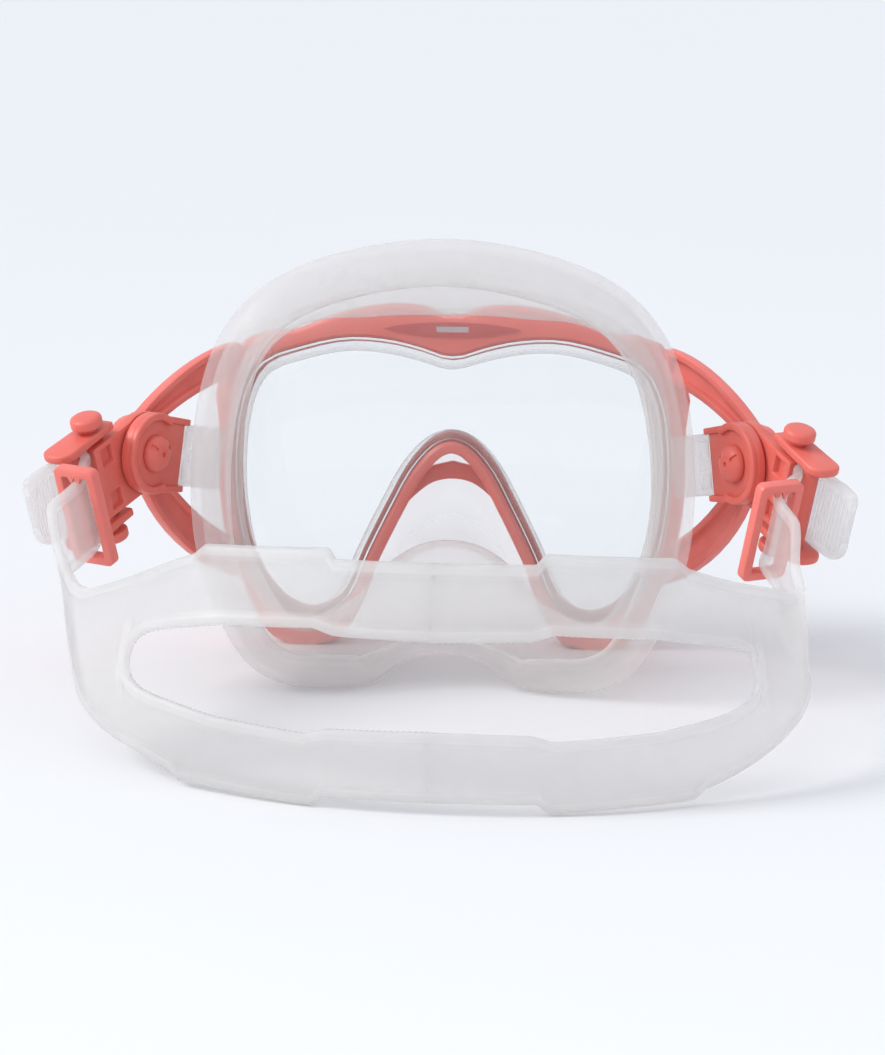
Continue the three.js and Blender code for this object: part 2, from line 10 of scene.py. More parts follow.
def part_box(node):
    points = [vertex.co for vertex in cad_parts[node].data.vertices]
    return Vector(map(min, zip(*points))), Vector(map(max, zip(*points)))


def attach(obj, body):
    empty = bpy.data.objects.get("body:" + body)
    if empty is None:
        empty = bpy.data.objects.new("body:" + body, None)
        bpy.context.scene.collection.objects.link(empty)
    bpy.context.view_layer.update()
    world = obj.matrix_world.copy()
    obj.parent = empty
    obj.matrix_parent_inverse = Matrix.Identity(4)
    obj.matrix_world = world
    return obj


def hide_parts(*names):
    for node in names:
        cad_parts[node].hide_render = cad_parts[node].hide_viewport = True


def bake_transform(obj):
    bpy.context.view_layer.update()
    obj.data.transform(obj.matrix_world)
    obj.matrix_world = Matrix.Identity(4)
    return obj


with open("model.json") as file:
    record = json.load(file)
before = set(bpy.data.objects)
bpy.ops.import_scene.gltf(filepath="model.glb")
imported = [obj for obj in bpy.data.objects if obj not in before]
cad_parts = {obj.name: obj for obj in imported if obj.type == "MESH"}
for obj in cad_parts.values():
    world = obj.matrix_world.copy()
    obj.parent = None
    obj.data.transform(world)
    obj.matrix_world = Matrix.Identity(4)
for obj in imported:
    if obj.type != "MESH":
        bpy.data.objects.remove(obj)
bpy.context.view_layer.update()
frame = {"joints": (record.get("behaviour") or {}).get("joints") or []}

# Pieces are drawn in millimetres, with y = 0 at the inner face of the glass, and are moved
# into the frame when they are finished. The side parts are drawn in their pivot's own axes:
# x along the buckle, y outward and z up.
mm = 0.001
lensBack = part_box("lens")[0].y / mm
joints = {joint["name"]: joint for joint in frame["joints"]}
pivot = Vector(joints["right_buckle_swivel"]["pos_m"]) / mm - Vector((0, lensBack, 0))

layers = {
    "fit": 0.3,          # free gap between neighbours
    "plateHalf": 1.25,   # half the side plate; the others count outward from its middle
    "baseIn": 1.85,
    "baseOut": 4.35,
    "wingIn": 4.95,
    "wingOut": 7.75,
    "postX": 22.5,
    "postY": 4.9,
    "postRadius": 2.0,
    "roof": 10.8,
    "turn": radians(60),     # how far the buckles point back from straight sideways
    "droop": radians(18),    # how far they hang at rest
    "pitch": radians(-12),   # tilt of the side plates
}


class Level:
    # a number from a shader socket; an expression on it adds the Math nodes
    def __init__(self, finish, socket):
        self.finish = finish
        self.socket = socket

    def sum(self, operation, first, second):
        return self.finish.node("ShaderNodeMath", {"operation": operation}, {0: first, 1: second})

    def __add__(self, other):
        return self.sum("ADD", self, other)

    def __radd__(self, other):
        return self.sum("ADD", other, self)

    def __sub__(self, other):
        return self.sum("SUBTRACT", self, other)

    def __rsub__(self, other):
        return self.sum("SUBTRACT", other, self)

    def __mul__(self, other):
        return self.sum("MULTIPLY", self, other)

    def __rmul__(self, other):
        return self.sum("MULTIPLY", other, self)

class Finish:
    # a material with one Principled shader and a short way to add nodes
    def __init__(self, name):
        self.material = bpy.data.materials.new(name)
        self.material.use_nodes = True
        self.tree = self.material.node_tree
        self.shader = self.tree.nodes["Principled BSDF"]

    def feed(self, socket, value):
        if isinstance(value, Level):
            self.tree.links.new(value.socket, socket)
        else:
            socket.default_value = value

    def node(self, kind, settings, sockets, out=0):
        node = self.tree.nodes.new(kind)
        for name, value in settings.items():
            if name == "stops":
                self.stops(node.color_ramp, value)
            else:
                setattr(node, name, value)
        for name, value in sockets.items():
            self.feed(node.inputs[name], value)
        return Level(self, node.outputs[out])

    def stops(self, ramp, stops):
        for element, (place, colour) in zip(ramp.elements, stops):
            element.position = place
            element.color = colour
        for place, colour in stops[2:]:
            ramp.elements.new(place).color = colour

    def place(self):
        return self.node("ShaderNodeTexCoord", {}, {}, "Object")

    def noise(self, size, detail=3, roughness=0.5):
        sockets = {"Vector": self.place(), "Scale": 1 / (size * mm)}
        sockets.update({"Detail": detail, "Roughness": roughness})
        return self.node("ShaderNodeTexNoise", {}, sockets, "Fac")

    def mark(self, name):
        return self.node("ShaderNodeAttribute", {"attribute_name": name}, {}, "Fac")

    def blend(self, share, first, second):
        sockets = {0: share, 6: first, 7: second}
        return self.node("ShaderNodeMix", {"data_type": "RGBA"}, sockets, 2)

    def bump(self, height, strength, depth):
        sockets = {"Height": height, "Strength": strength, "Distance": depth * mm}
        return self.node("ShaderNodeBump", {}, sockets, "Normal")

    def set(self, **sockets):
        for name, value in sockets.items():
            self.feed(self.shader.inputs[name.replace("_", " ")], value)


plastic = {
    "coral": {"light": (0.87, 0.215, 0.175, 1), "deep": (0.74, 0.15, 0.125, 1), "roughness": 0.36},
    "buckle": {"light": (0.82, 0.18, 0.135, 1), "deep": (0.68, 0.12, 0.095, 1), "roughness": 0.4},
    # shade: darker coral of the brow clip, painted shade standing in for the shadow in the recess where
    # the clip sits
    "shade": {"light": (0.62, 0.115, 0.10, 1), "deep": (0.50, 0.075, 0.07, 1), "roughness": 0.42},
    "window": {"light": (0.60, 0.54, 0.56, 1), "deep": (0.48, 0.42, 0.44, 1), "roughness": 0.3},
    "grain": 0.35,       # mm, moulded surface
    "flow": 9.0,         # mm, slow drift of the colour
}


def mouldedPlastic(name, tone):
    finish = Finish(name)
    flow = finish.noise(plastic["flow"], 4)
    grain = finish.noise(plastic["grain"], 2)
    roughness = tone["roughness"] + (flow - 0.5) * 0.12 + (grain - 0.5) * 0.05
    finish.set(Base_Color=finish.blend(flow, tone["light"], tone["deep"]), Roughness=roughness)
    finish.set(Normal=finish.bump(grain, 0.12, 0.05), IOR=1.49)
    finish.set(Subsurface_Weight=0.12, Subsurface_Radius=(0.004, 0.0014, 0.001), Subsurface_Scale=0.4)
    return finish.material


silicone = {
    "clear": (0.66, 0.625, 0.595, 1),
    "rim": (0.74, 0.705, 0.675, 1),
    "cloud": 14.0,       # mm, slow drift of the milkiness
    "skin": 1.6,         # mm, faint ripple of the surface
}


def mouldedSilicone(name, thin, thick, roughness=0.3):
    finish = Finish(name)
    cloud = finish.noise(silicone["cloud"], 3)
    skin = finish.noise(silicone["skin"], 2)
    rim = finish.mark("rim")
    colour = finish.blend(rim, silicone["clear"], silicone["rim"])
    finish.set(Base_Color=colour, Alpha=thin + rim * (thick - thin) + (cloud - 0.5) * 0.06)
    finish.set(Roughness=roughness + (cloud - 0.5) * 0.15, IOR=1.42)
    finish.set(Normal=finish.bump(skin, 0.06, 0.05))
    finish.set(Subsurface_Weight=0.9, Subsurface_Radius=(0.025, 0.023, 0.023), Subsurface_Scale=1.0)
    return finish.material


def clearGlass(name):
    finish = Finish(name)
    smear = finish.noise(7, 3)
    finish.set(Base_Color=(0.955, 0.972, 0.975, 1), Roughness=smear * 0.03)
    finish.set(Transmission_Weight=1.0, IOR=1.5)
    return finish.material


coral = mouldedPlastic("coralPlastic", plastic["coral"])
buckleCoral = mouldedPlastic("buckleCoral", plastic["buckle"])
# brow clip material: its darker coral is painted shade for the clip's recess
paintedShadeCoral = mouldedPlastic("paintedShadeCoral", plastic["shade"])
windowGrey = mouldedPlastic("windowGrey", plastic["window"])
skirtSilicone = mouldedSilicone("skirtSilicone", 0.23, 0.5)
strapSilicone = mouldedSilicone("strapSilicone", 0.37, 0.52, 0.34)
seamSilicone = mouldedSilicone("seamSilicone", 0.0, 0.0)
lensGlass = clearGlass("lensGlass")
print("finishes made")


def curveThrough(points, closed):
    # place and direction at a share, 0 to 1, of a smooth curve through the points
    spans = len(points) if closed else len(points) - 1

    def neighbour(i):
        if closed:
            return points[i % len(points)]
        if i < 0:
            return points[0] * 2 - points[1]
        if i >= len(points):
            return points[-1] * 2 - points[-2]
        return points[i]

    def at(share):
        span = int(share * spans) if closed else min(int(share * spans), spans - 1)
        t = share * spans - span
        before, start, end, after = (neighbour(span + k) for k in (-1, 0, 1, 2))
        gaps = ((before, start), (start, end), (end, after))
        g0, g1, g2 = (max(sqrt((b - a).length), 1e-3) for a, b in gaps)
        away = ((start - before) / g0 - (end - before) / (g0 + g1)) * g1 + (end - start)
        reach = ((after - end) / g2 - (after - start) / (g1 + g2)) * g1 + (end - start)
        place = (start * (2 * t**3 - 3 * t**2 + 1) + away * (t**3 - 2 * t**2 + t)
                 + end * (3 * t**2 - 2 * t**3) + reach * (t**3 - t**2))
        going = (start * (6 * t**2 - 6 * t) + away * (3 * t**2 - 4 * t + 1)
                 + end * (6 * t - 6 * t**2) + reach * (3 * t**2 - 2 * t))
        return place, going.normalized()

    return at


def ease(value, low, high):
    t = min(max((value - low) / (high - low), 0), 1)
    return t * t * (3 - 2 * t)


def between(rows, at):
    # reads a value between the rows of a short table of [place, value]
    for (a, low), (b, high) in zip(rows, rows[1:]):
        if at <= b:
            return low + (high - low) * (at - a) / (b - a)
    return rows[-1][1]


def arc(x, y, radius, start, end, steps):
    angles = [radians(start + (end - start) * i / steps) for i in range(steps + 1)]
    return [(x + radius * cos(a), y + radius * sin(a)) for a in angles]


def bezier(start, first, second, end, steps=8):
    corners = [Vector(p) for p in (start, first, second, end)]
    return [tuple(p)[:2] for p in interpolate_bezier(*corners, steps + 1)]


def sideMatrix(side, hanging, pitched=False):
    # from a pivot's own axes to the mask's, for the right side (1) or the left (-1)
    turn = -layers["turn"] if side > 0 else layers["turn"] - pi
    place = Matrix.Translation((side * pivot.x, pivot.y, pivot.z)) @ Matrix.Rotation(turn, 4, "Z")
    if hanging or pitched:
        place = place @ Matrix.Rotation(layers["droop" if hanging else "pitch"], 4, "Y")
    return place @ Matrix.Diagonal((1, side, 1, 1))


def sharpEdges(bm, angle=40):
    return [e for e in bm.edges if len(e.link_faces) == 2 and e.calc_face_angle(0) > radians(angle)]


def soften(bm, width, segments=2, edges=None):
    bmesh.ops.bevel(bm, geom=edges or sharpEdges(bm), offset=width, segments=segments, profile=0.5,
                    affect="EDGES", material=-1, clamp_overlap=True)


def cutAcross(bm, place, normal):
    whole = bm.verts[:] + bm.edges[:] + bm.faces[:]
    bmesh.ops.bisect_plane(bm, geom=whole, plane_co=place, plane_no=normal)


def cornersOf(geometry):
    return [part for part in geometry if isinstance(part, bmesh.types.BMVert)]


def tidyNormals(bm):
    bmesh.ops.remove_doubles(bm, verts=bm.verts, dist=0.002)
    bmesh.ops.recalc_face_normals(bm, faces=bm.faces)


def prism(outline, low, high, across="xz"):
    # a flat outline given thickness along the axis that it leaves out
    bm = bmesh.new()
    spread = {
        "xz": lambda a, b: (a, low, b),
        "xy": lambda a, b: (a, b, low),
        "yz": lambda a, b: (low, a, b),
    }
    travel = {"xz": (0, high - low, 0), "xy": (0, 0, high - low), "yz": (high - low, 0, 0)}
    corners = [bm.verts.new(spread[across](a, b)) for a, b in outline]
    face = bm.faces.new(corners)
    top = cornersOf(bmesh.ops.extrude_face_region(bm, geom=[face])["geom"])
    bmesh.ops.translate(bm, vec=travel[across], verts=top)
    bmesh.ops.recalc_face_normals(bm, faces=bm.faces)
    return bm


def turned(profile, steps=40):
    # a round body spun about the y axis from [radius, y] pairs
    bm = bmesh.new()
    corners = [bm.verts.new((radius, y, 0)) for radius, y in profile]
    edges = [bm.edges.new(pair) for pair in zip(corners, corners[1:])]
    bmesh.ops.spin(bm, geom=corners + edges, cent=(0, 0, 0), axis=(0, 1, 0), angle=2 * pi,
                   steps=steps, use_merge=True)
    tidyNormals(bm)
    return bm


def lofted(rings, marks=None, closed=True):
    # a skin over closed rings of equal length; marks give every point its share of rim
    bm = bmesh.new()
    seat = bm.verts.layers.int.new("seat")
    rim = bm.verts.layers.float.new("rim")
    marks = marks or [[0] * len(rings[0])] * len(rings)
    loop = bmesh.ops.create_circle(bm, segments=len(rings[0]), radius=1)["verts"]
    for i, v in enumerate(loop):
        v[seat] = i
        v.co = rings[0][i]
        v[rim] = marks[0][i]
    first = bm.edges[:]
    edges = first
    for ring, mark in zip(rings[1:], marks[1:]):
        grown = bmesh.ops.extrude_edge_only(bm, edges=edges)["geom"]
        fresh = set(cornersOf(grown))
        edges = [e for e in grown if isinstance(e, bmesh.types.BMEdge) and fresh.issuperset(e.verts)]
        for v in fresh:
            v.co = ring[v[seat]]
            v[rim] = mark[v[seat]]
    if closed:
        bmesh.ops.bridge_loops(bm, edges=first + edges)
    bmesh.ops.recalc_face_normals(bm, faces=bm.faces)
    return bm


def joined(*parts):
    # several shapes in one mesh
    whole = bmesh.new()
    for part in parts:
        mesh = bpy.data.meshes.new("part")
        part.to_mesh(mesh)
        part.free()
        whole.from_mesh(mesh)
        bpy.data.meshes.remove(mesh)
    return whole


def finishPiece(name, bm, material, body, stands, place=None, smooth=0, sharp=38):
    move = Matrix.Translation((0, lensBack, 0)) @ (place or Matrix.Identity(4))
    bmesh.ops.transform(bm, matrix=Matrix.Scale(mm, 4) @ move, verts=bm.verts)
    if bm.calc_volume(signed=True) < 0:  # mirrored, or made inside out
        bmesh.ops.reverse_faces(bm, faces=bm.faces)
    mesh = bpy.data.meshes.new(name)
    bm.to_mesh(mesh)
    bm.free()
    mesh.polygons.foreach_set("use_smooth", [True] * len(mesh.polygons))
    if not smooth:
        mesh.set_sharp_from_angle(angle=radians(sharp))
    mesh.materials.append(material)
    piece = bpy.data.objects.new(name, mesh)
    bpy.context.scene.collection.objects.link(piece)
    if smooth:
        rounding = piece.modifiers.new("rounding", "SUBSURF")
        rounding.levels = smooth
        rounding.render_levels = smooth
    if body:
        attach(piece, body)
    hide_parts(*stands)
    return piece


# lens, frame ring and bezel
outline = {
    "steps": 96,
    # right half, top middle to nose: x and z of the clear opening, x and z of the skirt's fold
    "rows": [
        (0, 72.5, 0, 112), (8, 74.6, 10, 111.4), (17, 76.6, 21, 109.5), (27, 77, 33, 106),
        (38, 74.5, 43.5, 100.5), (46.5, 71, 51, 93), (50.5, 63, 56.5, 83), (52.3, 48, 60.3, 66),
        (51.5, 34, 61, 48), (48.5, 22, 59.5, 34), (42, 13, 55, 20), (35.5, 10.5, 48.5, 7.6),
        (29.5, 14, 39, 1.3), (25, 24.5, 27.5, 0.1), (18.5, 38, 17, 1), (12.5, 49, 11, 4.8),
        (6, 55.8, 5, 6.8), (0, 57.7, 0, 7.2),
    ],
}


def outlineCurve(columnX, columnZ):
    right = [Vector((row[columnX], 0, row[columnZ])) for row in outline["rows"]]
    left = [Vector((-p.x, 0, p.z)) for p in right[-2:0:-1]]
    return curveThrough(right + left, True)


openingCurve = outlineCurve(0, 1)
foldCurve = outlineCurve(2, 3)
shares = [i / outline["steps"] for i in range(outline["steps"])]

lens = {"thickness": 4.0, "seat": 3.4, "bevel": 0.5}
ring = {
    "back": -1.4,
    "depth": 8.0,
    "round": 0.8,
    "bezel": 1.8,
    "lip": 1.9,
    "rim": 7.4,          # outside the clear opening, and what each place adds to it
    "brow": 6.2,
    "lobe": 4.8,
    "arch": -0.7,
    "ear": 3.2,
    "earPlace": (48.5, 67),
}


def frameEdge(p):
    # how far the ring reaches outside the clear opening: deeper at brow, lobes and ears
    brow = ring["brow"] * (1 - ease(abs(p.x), 6, 40)) * ease(p.z, 62, 70)
    lobe = ring["lobe"] * (1 - ease(p.z, 9, 20)) * ease(abs(p.x), 27, 36)
    arch = ring["arch"] * (1 - ease(abs(p.x), 24, 34)) * (1 - ease(p.z, 56, 66))
    away = (Vector((abs(p.x), p.z)) - Vector(ring["earPlace"])).length
    ear = ring["ear"] * (1 - ease(away, 3, 13))
    return ring["rim"] + brow + lobe + arch + ear


def openingRing(grow, y):
    points = []
    for share in shares:
        p, going = openingCurve(share)
        out = grow(p) if callable(grow) else grow
        # straight up at the middle of the brow, where the loops would cross in the dip
        sideways = 1 - (1 - ease(abs(p.x), 0, 14)) * ease(p.z, 62, 70)
        points.append(Vector((p.x - going.z * out * sideways, y, max(p.z + going.x * out, 0.05))))
    return points


def lensPiece():
    seat, bevel, depth = lens["seat"], lens["bevel"], lens["thickness"]
    rings = [openingRing(seat - bevel, 0), openingRing(seat, bevel), openingRing(seat, depth - bevel),
             openingRing(seat - bevel, depth)]
    bm = lofted(rings, closed=False)
    openEdges = [e for e in bm.edges if e.is_boundary]
    for y in (0, depth):
        rim = [e for e in openEdges if abs(e.verts[0].co.y - y) < 0.01]
        bmesh.ops.contextual_create(bm, geom=rim)
    bmesh.ops.recalc_face_normals(bm, faces=bm.faces)
    return finishPiece("lensGlass", bm, lensGlass, "mask", ["lens"], sharp=30)


def ringSection(inside, lip, outside, back, front, edge):
    # rounded section of a ring, walked round: how far out, and y
    return [
        (inside, back + edge), (lambda p: inside + edge, back), (lambda p: outside(p) - edge, back),
        (lambda p: outside(p) - edge * 0.3, back + edge * 0.3), (outside, back + edge),
        (outside, front - edge), (lambda p: outside(p) - edge * 0.3, front - edge * 0.3),
        (lambda p: outside(p) - edge, front), (lip + edge, front), (lip, front - edge * 0.6),
    ]


def frameRing():
    inside = lens["seat"] + layers["fit"]
    front = ring["back"] + ring["depth"]
    shelf = lens["thickness"] + layers["fit"]
    section = ringSection(inside, ring["lip"], frameEdge, ring["back"], front, ring["round"])
    section += [(ring["lip"], shelf + 0.5), (ring["lip"] + 0.4, shelf), (inside, shelf)]
    rings = [openingRing(grow, y) for grow, y in section]
    return finishPiece("frameRing", lofted(rings), coral, "mask", ["main_frame"])


def bezelRing():
    back = ring["back"] + ring["depth"] + layers["fit"]
    front = back + ring["bezel"]
    section = ringSection(2.0, 2.0, lambda p: frameEdge(p) - 2.2, back, front, 0.45)
    rings = [openingRing(grow, y) for grow, y in section]
    return finishPiece("bezelRing", lofted(rings), coral, "mask", ["front_bezel"])


bridge = {
    # the bezel's web over the nose: its lower edge from left to right, then its upper edge back
    "lower": [(-14.5, 33), (-9.5, 38.5), (-5, 41.8), (0, 42.8), (5, 41.8), (9.5, 38.5), (14.5, 33)],
    "upper": [(14, 39), (9.6, 43.2), (5, 46.2), (0, 47.4), (-5, 46.2), (-9.6, 43.2), (-14, 39)],
}


def noseBridge():
    lower = curveThrough([Vector((x, z, 0)) for x, z in bridge["lower"]], False)
    edge = [tuple(lower(i / 24)[0])[:2] for i in range(25)]
    back = ring["back"] + ring["depth"] + layers["fit"]
    bm = prism(edge + bridge["upper"], back + 0.05, back + ring["bezel"] - 0.05)
    soften(bm, 0.3)
    return finishPiece("noseBridge", bm, coral, "mask", ["front_bezel"])


clip = {
    "half": 17.5,
    "height": 3.6,
    "z": 83.2,
    "proud": 0.25,       # above the back of the frame ring
    "sunk": 1.0,
    "window": {"half": 4.2, "low": 82.3, "high": 84.0, "rim": 0.2, "depth": 0.12},
}


def browClip():
    half, tall = clip["half"], clip["height"] / 2
    crest = tall * 1.3
    upper = bezier((-half, 0, 0), (-half * 0.5, crest, 0), (half * 0.5, crest, 0), (half, 0, 0), 12)
    lower = [(x, -z * 1.25) for x, z in reversed(upper[1:-1])]
    outlinePoints = [(x, clip["z"] + z) for x, z in upper + lower]
    bm = prism(outlinePoints, ring["back"] - clip["proud"], ring["back"] + clip["sunk"])
    window = clip["window"]
    for x in (-window["half"], window["half"]):
        cutAcross(bm, (x, 0, 0), (1, 0, 0))
    for z in (window["low"], window["high"]):
        cutAcross(bm, (0, 0, z), (0, 0, 1))
    pane = [f for f in bm.faces if f.normal.y < -0.9 and abs(f.calc_center_median().x) < window["half"]
            and window["low"] < f.calc_center_median().z < window["high"]]
    bmesh.ops.inset_region(bm, faces=pane, thickness=window["rim"], depth=-window["depth"])
    for face in pane:
        face.material_index = 1
    # the clip's darker coral is painted shade, standing in for the shadow of the recess in the frame's
    # back
    piece = finishPiece("browClip", bm, paintedShadeCoral, "mask", ["brow_clip"], sharp=30)
    piece.data.materials.append(windowGrey)
    return piece


lensPiece()
frameRing()
bezelRing()
noseBridge()
browClip()
print("lens and frame made")


# skirt: thin wall, sealing flange turned in at the face, inner lip and nose pocket
skirt = {
    "flange": 11.0,
    "wall": 1.8,
    "innerLip": 6.0,
    "browLip": 3.0,      # how much lower the inner lip hangs at the brow
    "fold": 61.0,        # half width at the face
    "temple": 7.0,       # how far the sides reach further back than the middle
    "pocket": 17.0,      # how far the nose pocket stands forward
    "noseFold": 8.0,     # and how far the face edge stands forward under it
    "noseHalf": 0.128,   # half the arch, as a share of the way round
    "lug": {"depth": 1.1, "half": 7.6, "near": -11.3, "panes": (-16.4, -12.6), "rows": (1.6, 6)},
}


def skirtStations():
    # share of the way from the lens to the fold, y, shift outward, extra shift at the nose, and
    # the rim mark: 1 is milky, 0 is the plain wall and below 0 is clearer
    edge = -skirt["flange"]
    wall = skirt["wall"]
    lip = -wall - skirt["innerLip"]
    return [
        (0, -0.35, 0.2, 0, 0.4), (0, -0.35, 1.8, 0, -0.5), (0, -0.35, 3.2, 0, -0.5),
        (0, -1.2, 3.4, 0, -0.5), (0, -2.1, 3.4, 0, -0.5),
        (0, -2.2, 3.6, 3, -0.5), (0.16, -3.6, 2.9, 3.3, -0.5), (0.34, -5.2, 2, 3.4, -0.4),
        (0.5, -10, 1.4, 0, -0.3), (0.62, -15, 1, 0, 0), (0.75, -22, 0.5, 0, 0), (0.88, -30, 0, 0, 0),
        (0.96, -38, 0, 0, 0), (1, -43, 0, 0, 0.05), (1, -45.6, -0.6, 0, 0.1), (1, -47.6, -2.2, 0, 0.1),
        (1, -49.5, -4.6, 0, 0), (1, -50.6, edge * 0.66, 0, 0), (1, -51.1, edge + 1.6, 0, 0.2),
        (1, -51.1, edge + 0.4, 0, 1), (1, -50.6, edge, 0, 1), (1, -50.0, edge + 0.5, 0, 1),
        (1, -49.6, edge + 1.8, 0, 0.2), (1, -49.2, edge * 0.66, 0, 0), (1, -47.8, -5.0, 0, 0),
        (1, -46, -wall - 1.6, 0, 0), (1, -43, -wall - 0.6, 0, 0), (0.88, -31, -wall, 0, 0),
        (0.79, -26.2, -wall - 2.2, 0, 0), (0.73, -23.4, lip + 1.2, 0, 0.2),
        (0.71, -22.6, lip, 0, 1), (0.7, -21.6, lip + 0.3, 0, 1),
        (0.7, -20.8, lip + 2.2, 0, 0.2), (0.68, -19.4, -wall - 1.2, 0, 0),
        (0.62, -17, -wall * 0.6, 0, 0), (0.34, -7.2, 0.4, 3.2, -0.4), (0.14, -5.2, 1.2, 3.1, -0.5),
        (0, -4.1, 1.6, 3, -0.5), (0, -2.8, 0.7, 1, -0.5), (0, -1.6, 0.1, 0, 0.2),
    ]


def noseShare(share):
    # 1 at the middle of the nose arch and 0 outside it
    away = abs(share - 0.5) / skirt["noseHalf"]
    level = 0 if away > 1 else 0.5 + 0.5 * cos(pi * away)
    return 1 - (1 - level) ** 1.6


def skirtRing(station):
    reach, y, shift, noseShift, _ = station
    points = []
    for share in shares:
        p, going = openingCurve(share)
        fold, foldGoing = foldCurve(share)
        going = going.lerp(foldGoing, reach).normalized()
        p = p.lerp(fold, reach)
        nose = noseShare(share)
        out = shift * (1 - 0.45 * nose) if reach == 1 else shift
        out += noseShift * sqrt(nose)
        if 0.69 < reach < 0.75:  # the inner lip
            out -= skirt["browLip"] * ease(p.z, 84, 96) * (1 - ease(abs(p.x), 18, 42))
        temple = skirt["temple"] * (p.x / skirt["fold"]) ** 2 * reach
        pocket = skirt["pocket"] * nose * sin(pi * reach) * (1 - 0.35 * reach)
        pocket += skirt["noseFold"] * nose * reach
        back = y - temple + pocket
        points.append(Vector((p.x - going.z * out, back, max(p.z + going.x * out, 0.1))))
    return points


def skirtMarks(station):
    # clearest over the brow and the nose arch, and milkier at the cheeks
    places = [openingCurve(share)[0] for share in shares]
    clear = [1 - 0.75 * ease(abs(p.x), 36, 50) for p in places]
    return [station[4] * (level if station[4] < 0 else 1) for level in clear]


def skirtShell():
    stations = skirtStations()
    rings = [skirtRing(station) for station in stations]
    bm = lofted(rings, [skirtMarks(station) for station in stations])
    return finishPiece("skirtShell", bm, skirtSilicone, "mask", ["skirt"], smooth=1)


def skirtLug(side, label):
    lug = skirt["lug"]
    deep, half, near = lug["depth"], lug["half"], lug["near"]
    inner, outer = lug["panes"]
    low, high = lug["rows"]
    section = [(near, -deep), (near, deep), (-18, deep), (-24.5, -2.4), (-22.5, -5.4), (-17, -deep)]
    bm = prism(section, -half, half, "xy")
    rim = bm.verts.layers.float.new("rim")
    for x in lug["panes"]:
        cutAcross(bm, (x, 0, 0), (1, 0, 0))
    for z in (-high, -low, low, high):
        cutAcross(bm, (0, 0, z), (0, 0, 1))
    for v in bm.verts:
        v[rim] = 0.6
    panes = [f for f in bm.faces if f.normal.y < -0.9 and inner < f.calc_center_median().x < outer
             and low < abs(f.calc_center_median().z) < high]
    for pane in panes:
        bmesh.ops.inset_region(bm, faces=[pane], thickness=0.2, depth=-0.9)
    soften(bm, 0.15, 1)
    place = sideMatrix(side, False, True)
    return finishPiece(f"{label}Lug", bm, skirtSilicone, "mask", ["skirt"], place)


skirtShell()
skirtLug(1, "right")
skirtLug(-1, "left")
print("skirt made")


# side arms of the frame
wing = {"recess": 1.7, "rim": 1.7, "bevel": 0.35}


def wingOutline():
    upper = bezier((-44, 21, 0), (-30, 21, 0), (-14, 15.5, 0), (-3, 8.6, 0), 10)
    nose = arc(0, 0, 8.6, 108, -111.6, 18)
    lower = bezier((*nose[-1], 0), (-10, -22, 0), (-26, -34, 0), (-44, -40.4, 0), 10)
    inner = bezier((-44, -30.4, 0), (-32, -26, 0), (-20, -17, 0), (-9, -5, 0), 8)
    hollow = arc(-4, 0, 7, 225, 135, 6)
    back = bezier((-9, 5, 0), (-20, 9.5, 0), (-32, 12.5, 0), (-44, 12.5, 0), 8)
    return upper + nose[1:] + lower[1:] + inner + hollow[1:-1] + back


def wingPiece(side, label):
    bm = prism(wingOutline(), layers["wingIn"], layers["wingOut"])
    inner = [f for f in bm.faces if f.normal.y < -0.9]
    bmesh.ops.inset_region(bm, faces=inner, thickness=wing["rim"], depth=0, use_even_offset=True)
    bmesh.ops.inset_region(bm, faces=inner, thickness=0.4, depth=-wing["recess"], use_even_offset=True)
    soften(bm, wing["bevel"])
    place = sideMatrix(side, False)
    return finishPiece(f"{label}Wing", bm, coral, "mask", ["main_frame"], place)


plate = {"radius": 10.0, "rise": 1.1, "rimInside": 0.82}


def plateOutline():
    curve = arc(0, 0, plate["radius"], -118, 118, 26)
    return [(-11, -8), (-5.4, -8.8)] + curve + [(-5.4, 8.8), (-11, 8)]


def platePiece(side, label):
    bm = prism(plateOutline(), -layers["plateHalf"], layers["plateHalf"])
    soften(bm, 0.3)
    rim = bmesh.new()
    curve = [Vector((x, 0, z)) for x, z in plateOutline()[1:-1]]
    crest = Vector((0, -layers["plateHalf"] - plate["rise"], 0))
    corners = [rim.verts.new(crest + p) for p in curve]
    inner = [rim.verts.new(crest + p * plate["rimInside"]) for p in curve]
    edges = [rim.edges.new(pair) for loop in (corners, inner) for pair in zip(loop, loop[1:])]
    faces = bmesh.ops.bridge_loops(rim, edges=edges)["faces"]
    bmesh.ops.recalc_face_normals(rim, faces=rim.faces)
    grown = cornersOf(bmesh.ops.extrude_face_region(rim, geom=faces)["geom"])
    bmesh.ops.translate(rim, vec=(0, plate["rise"] + 0.6, 0), verts=grown)
    bmesh.ops.recalc_face_normals(rim, faces=rim.faces)
    soften(rim, 0.45, 3)
    shelves = []
    for z in (-1, 1):
        edge = [(-12.5, z * 7.4), (-12.5, z * 9.0), (-4.5, z * 9.4), (-4.5, z * 7.8)]
        shelf = prism(edge, -1.8, 1.2)
        soften(shelf, 0.3)
        shelves.append(shelf)
    bm = joined(bm, rim, *shelves)
    stands = [f"{label}_side_plate"]
    place = sideMatrix(side, False, True)
    return finishPiece(f"{label}Plate", bm, buckleCoral, "mask", stands, place)


pin = {
    "head": 4.6,
    "dome": 2.3,
    "shank": 2.3,
    "notchAngles": (35, 155),
    "notchPlace": 3.6,
    "notch": 0.75,
}


